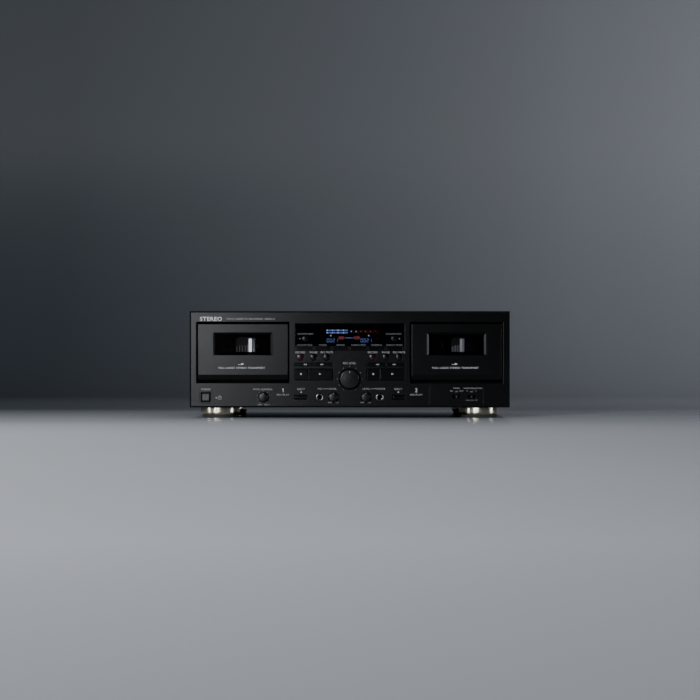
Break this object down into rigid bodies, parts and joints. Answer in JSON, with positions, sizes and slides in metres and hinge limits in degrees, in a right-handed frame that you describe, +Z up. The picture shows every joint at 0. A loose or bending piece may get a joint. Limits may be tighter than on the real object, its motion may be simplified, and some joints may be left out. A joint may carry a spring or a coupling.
{
  "type": "cassette deck",
  "caption": "Full-width stereo twin cassette deck with damped tape doors, central display, transport keys, level knobs and plated round feet.",
  "frame": {"origin": "on the floor plane under the middle of the deck's bounding box", "axes": "+X to the right of someone facing the front, +Z up, the front faces -Y"},
  "size_m": [0.435, 0.286, 0.145],
  "materials": {
    "satin_black_panel": "satin black moulding with a fine even texture",
    "black_key_plastic": "smooth satin black",
    "grey_key_plastic": "satin grey",
    "dark_red_plastic": "satin dark red",
    "knob_plastic": "satin black, spun face",
    "black_painted_steel": "fine textured black powder coat",
    "zinc_plated_steel": "zinc plated sheet",
    "champagne_plating": "champagne plated ring on a black rubber base",
    "smoked_lens": "polished dark smoked acrylic",
    "clear_door_lens": "polished lightly smoked acrylic",
    "mechanism_plastic": "matt black engineering plastic",
    "polished_steel": "ground and polished steel",
    "pinch_rubber": "ground black rubber",
    "circuit_board": "green solder resist with soldered parts",
    "transformer_steel": "lacquered laminations with a taped winding"
  },
  "bodies": {
    "deck": {"front_panel": "satin_black_panel", "top_cover": "black_painted_steel", "bottom_chassis": "zinc_plated_steel", "rear_panel": "black_painted_steel", "front_foot_left": "champagne_plating", "front_foot_right": "champagne_plating", "rear_foot_left": "champagne_plating", "rear_foot_right": "champagne_plating", "display_window": "smoked_lens", "front_jack_board": "circuit_board", "main_board": "circuit_board", "power_transformer": "transformer_steel", "ac_inlet": "mechanism_plastic", "transport_chassis_1": "mechanism_plastic", "transport_chassis_2": "mechanism_plastic"},
    "cassette_door_1": {"cassette_door_1": "satin_black_panel", "door_window_1": "clear_door_lens"},
    "cassette_door_2": {"cassette_door_2": "satin_black_panel", "door_window_2": "clear_door_lens"},
    "pause_button_1": {"pause_button_1": "black_key_plastic"},
    "rec_mute_button_1": {"rec_mute_button_1": "black_key_plastic"},
    "rewind_button_1": {"rewind_button_1": "black_key_plastic"},
    "fast_forward_button_1": {"fast_forward_button_1": "black_key_plastic"},
    "stop_button_1": {"stop_button_1": "black_key_plastic"},
    "play_button_1": {"play_button_1": "black_key_plastic"},
    "eject_button_1": {"eject_button_1": "black_key_plastic"},
    "counter_reset_button_1": {"counter_reset_button_1": "black_key_plastic"},
    "pause_button_2": {"pause_button_2": "black_key_plastic"},
    "rec_mute_button_2": {"rec_mute_button_2": "black_key_plastic"},
    "rewind_button_2": {"rewind_button_2": "black_key_plastic"},
    "fast_forward_button_2": {"fast_forward_button_2": "black_key_plastic"},
    "stop_button_2": {"stop_button_2": "black_key_plastic"},
    "play_button_2": {"play_button_2": "black_key_plastic"},
    "eject_button_2": {"eject_button_2": "black_key_plastic"},
    "counter_reset_button_2": {"counter_reset_button_2": "black_key_plastic"},
    "function_button_1": {"function_button_1": "black_key_plastic"},
    "function_button_2": {"function_button_2": "black_key_plastic"},
    "function_button_3": {"function_button_3": "black_key_plastic"},
    "function_button_4": {"function_button_4": "black_key_plastic"},
    "function_button_5": {"function_button_5": "black_key_plastic"},
    "function_button_6": {"function_button_6": "black_key_plastic"},
    "timer_switch": {"timer_switch": "black_key_plastic"},
    "noise_reduction_switch": {"noise_reduction_switch": "black_key_plastic"},
    "power_button": {"power_button": "grey_key_plastic"},
    "record_button_1": {"record_button_1": "dark_red_plastic"},
    "record_button_2": {"record_button_2": "dark_red_plastic"},
    "rec_level_knob": {"rec_level_knob": "knob_plastic"},
    "pitch_knob": {"pitch_knob": "knob_plastic"},
    "mic_level_knob": {"mic_level_knob": "knob_plastic"},
    "phones_level_knob": {"phones_level_knob": "knob_plastic"},
    "supply_hub_1": {"supply_hub_1": "mechanism_plastic"},
    "supply_hub_2": {"supply_hub_2": "mechanism_plastic"},
    "takeup_hub_1": {"takeup_hub_1": "mechanism_plastic"},
    "takeup_hub_2": {"takeup_hub_2": "mechanism_plastic"},
    "capstan_flywheel_1": {"capstan_flywheel_1": "polished_steel"},
    "capstan_flywheel_2": {"capstan_flywheel_2": "polished_steel"},
    "head_bridge_1": {"head_bridge_1": "polished_steel"},
    "head_bridge_2": {"head_bridge_2": "polished_steel"},
    "pinch_roller_1": {"pinch_roller_1": "pinch_rubber"},
    "pinch_roller_2": {"pinch_roller_2": "pinch_rubber"}
  },
  "joints": [
    {"name": "cassette_door_1_hinge", "type": "hinge", "parent": "deck", "child": "cassette_door_1", "pos_m": [-0.145, -0.117, 0.055], "axis": [1, 0, 0], "range_deg": [0, 25]},
    {"name": "cassette_door_2_hinge", "type": "hinge", "parent": "deck", "child": "cassette_door_2", "pos_m": [0.145, -0.117, 0.055], "axis": [1, 0, 0], "range_deg": [0, 25]},
    {"name": "rec_level_knob_turn", "type": "hinge", "parent": "deck", "child": "rec_level_knob", "pos_m": [0, -0.13, 0.0528], "axis": [0, 1, 0], "range_deg": [-150, 150]},
    {"name": "pitch_knob_turn", "type": "hinge", "parent": "deck", "child": "pitch_knob", "pos_m": [-0.117, -0.13, 0.028], "axis": [0, 1, 0], "range_deg": [-150, 150]},
    {"name": "mic_level_knob_turn", "type": "hinge", "parent": "deck", "child": "mic_level_knob", "pos_m": [-0.022, -0.13, 0.028], "axis": [0, 1, 0], "range_deg": [-150, 150]},
    {"name": "phones_level_knob_turn", "type": "hinge", "parent": "deck", "child": "phones_level_knob", "pos_m": [0.022, -0.13, 0.028], "axis": [0, 1, 0], "range_deg": [-150, 150]},
    {"name": "pause_button_1_press", "type": "slide", "parent": "deck", "child": "pause_button_1", "axis": [0, 1, 0], "range_m": [0, 0.0015], "stiffness_N_per_m": 200, "springref_m": -0.002},
    {"name": "rec_mute_button_1_press", "type": "slide", "parent": "deck", "child": "rec_mute_button_1", "axis": [0, 1, 0], "range_m": [0, 0.0015], "stiffness_N_per_m": 200, "springref_m": -0.002},
    {"name": "rewind_button_1_press", "type": "slide", "parent": "deck", "child": "rewind_button_1", "axis": [0, 1, 0], "range_m": [0, 0.0012], "stiffness_N_per_m": 200, "springref_m": -0.002},
    {"name": "fast_forward_button_1_press", "type": "slide", "parent": "deck", "child": "fast_forward_button_1", "axis": [0, 1, 0], "range_m": [0, 0.0012], "stiffness_N_per_m": 200, "springref_m": -0.002},
    {"name": "stop_button_1_press", "type": "slide", "parent": "deck", "child": "stop_button_1", "axis": [0, 1, 0], "range_m": [0, 0.0015], "stiffness_N_per_m": 200, "springref_m": -0.002},
    {"name": "play_button_1_press", "type": "slide", "parent": "deck", "child": "play_button_1", "axis": [0, 1, 0], "range_m": [0, 0.0015], "stiffness_N_per_m": 200, "springref_m": -0.002},
    {"name": "eject_button_1_press", "type": "slide", "parent": "deck", "child": "eject_button_1", "axis": [0, 1, 0], "range_m": [0, 0.002], "stiffness_N_per_m": 200, "springref_m": -0.002},
    {"name": "counter_reset_button_1_press", "type": "slide", "parent": "deck", "child": "counter_reset_button_1", "axis": [0, 1, 0], "range_m": [0, 0.001], "stiffness_N_per_m": 200, "springref_m": -0.002},
    {"name": "pause_button_2_press", "type": "slide", "parent": "deck", "child": "pause_button_2", "axis": [0, 1, 0], "range_m": [0, 0.0015], "stiffness_N_per_m": 200, "springref_m": -0.002},
    {"name": "rec_mute_button_2_press", "type": "slide", "parent": "deck", "child": "rec_mute_button_2", "axis": [0, 1, 0], "range_m": [0, 0.0015], "stiffness_N_per_m": 200, "springref_m": -0.002},
    {"name": "rewind_button_2_press", "type": "slide", "parent": "deck", "child": "rewind_button_2", "axis": [0, 1, 0], "range_m": [0, 0.0012], "stiffness_N_per_m": 200, "springref_m": -0.002},
    {"name": "fast_forward_button_2_press", "type": "slide", "parent": "deck", "child": "fast_forward_button_2", "axis": [0, 1, 0], "range_m": [0, 0.0012], "stiffness_N_per_m": 200, "springref_m": -0.002},
    {"name": "stop_button_2_press", "type": "slide", "parent": "deck", "child": "stop_button_2", "axis": [0, 1, 0], "range_m": [0, 0.0015], "stiffness_N_per_m": 200, "springref_m": -0.002},
    {"name": "play_button_2_press", "type": "slide", "parent": "deck", "child": "play_button_2", "axis": [0, 1, 0], "range_m": [0, 0.0015], "stiffness_N_per_m": 200, "springref_m": -0.002},
    {"name": "eject_button_2_press", "type": "slide", "parent": "deck", "child": "eject_button_2", "axis": [0, 1, 0], "range_m": [0, 0.002], "stiffness_N_per_m": 200, "springref_m": -0.002},
    {"name": "counter_reset_button_2_press", "type": "slide", "parent": "deck", "child": "counter_reset_button_2", "axis": [0, 1, 0], "range_m": [0, 0.001], "stiffness_N_per_m": 200, "springref_m": -0.002},
    {"name": "function_button_1_press", "type": "slide", "parent": "deck", "child": "function_button_1", "axis": [0, 1, 0], "range_m": [0, 0.001], "stiffness_N_per_m": 200, "springref_m": -0.002},
    {"name": "function_button_2_press", "type": "slide", "parent": "deck", "child": "function_button_2", "axis": [0, 1, 0], "range_m": [0, 0.001], "stiffness_N_per_m": 200, "springref_m": -0.002},
    {"name": "function_button_3_press", "type": "slide", "parent": "deck", "child": "function_button_3", "axis": [0, 1, 0], "range_m": [0, 0.001], "stiffness_N_per_m": 200, "springref_m": -0.002},
    {"name": "function_button_4_press", "type": "slide", "parent": "deck", "child": "function_button_4", "axis": [0, 1, 0], "range_m": [0, 0.001], "stiffness_N_per_m": 200, "springref_m": -0.002},
    {"name": "function_button_5_press", "type": "slide", "parent": "deck", "child": "function_button_5", "axis": [0, 1, 0], "range_m": [0, 0.001], "stiffness_N_per_m": 200, "springref_m": -0.002},
    {"name": "function_button_6_press", "type": "slide", "parent": "deck", "child": "function_button_6", "axis": [0, 1, 0], "range_m": [0, 0.001], "stiffness_N_per_m": 200, "springref_m": -0.002},
    {"name": "power_button_press", "type": "slide", "parent": "deck", "child": "power_button", "axis": [0, 1, 0], "range_m": [0, 0.0025], "stiffness_N_per_m": 200, "springref_m": -0.002},
    {"name": "record_button_1_press", "type": "slide", "parent": "deck", "child": "record_button_1", "axis": [0, 1, 0], "range_m": [0, 0.0015], "stiffness_N_per_m": 200, "springref_m": -0.002},
    {"name": "record_button_2_press", "type": "slide", "parent": "deck", "child": "record_button_2", "axis": [0, 1, 0], "range_m": [0, 0.0015], "stiffness_N_per_m": 200, "springref_m": -0.002},
    {"name": "timer_switch_slide", "type": "slide", "parent": "deck", "child": "timer_switch", "axis": [1, 0, 0], "range_m": [-0.0028, 0.0028]},
    {"name": "noise_reduction_switch_slide", "type": "slide", "parent": "deck", "child": "noise_reduction_switch", "axis": [1, 0, 0], "range_m": [-0.0028, 0.0028]},
    {"name": "supply_hub_1_spin", "type": "hinge", "parent": "deck", "child": "supply_hub_1", "pos_m": [-0.16625, -0.1105, 0.0965], "axis": [0, 1, 0], "continuous": true},
    {"name": "takeup_hub_1_spin", "type": "hinge", "parent": "deck", "child": "takeup_hub_1", "pos_m": [-0.12375, -0.1105, 0.0965], "axis": [0, 1, 0], "continuous": true},
    {"name": "capstan_flywheel_1_spin", "type": "hinge", "parent": "deck", "child": "capstan_flywheel_1", "pos_m": [-0.1165, -0.1105, 0.0686], "axis": [0, 1, 0], "continuous": true},
    {"name": "head_bridge_1_lift", "type": "slide", "parent": "deck", "child": "head_bridge_1", "axis": [0, 0, 1], "range_m": [0, 0.0055], "stiffness_N_per_m": 150, "springref_m": -0.004},
    {"name": "pinch_roller_1_spin", "type": "hinge", "parent": "head_bridge_1", "child": "pinch_roller_1", "pos_m": [-0.1165, -0.1236, 0.0567], "axis": [0, 1, 0], "continuous": true},
    {"name": "supply_hub_2_spin", "type": "hinge", "parent": "deck", "child": "supply_hub_2", "pos_m": [0.12375, -0.1105, 0.0965], "axis": [0, 1, 0], "continuous": true},
    {"name": "takeup_hub_2_spin", "type": "hinge", "parent": "deck", "child": "takeup_hub_2", "pos_m": [0.16625, -0.1105, 0.0965], "axis": [0, 1, 0], "continuous": true},
    {"name": "capstan_flywheel_2_spin", "type": "hinge", "parent": "deck", "child": "capstan_flywheel_2", "pos_m": [0.1735, -0.1105, 0.0686], "axis": [0, 1, 0], "continuous": true},
    {"name": "head_bridge_2_lift", "type": "slide", "parent": "deck", "child": "head_bridge_2", "axis": [0, 0, 1], "range_m": [0, 0.0055], "stiffness_N_per_m": 150, "springref_m": -0.004},
    {"name": "pinch_roller_2_spin", "type": "hinge", "parent": "head_bridge_2", "child": "pinch_roller_2", "pos_m": [0.1735, -0.1236, 0.0567], "axis": [0, 1, 0], "continuous": true}
  ]
}
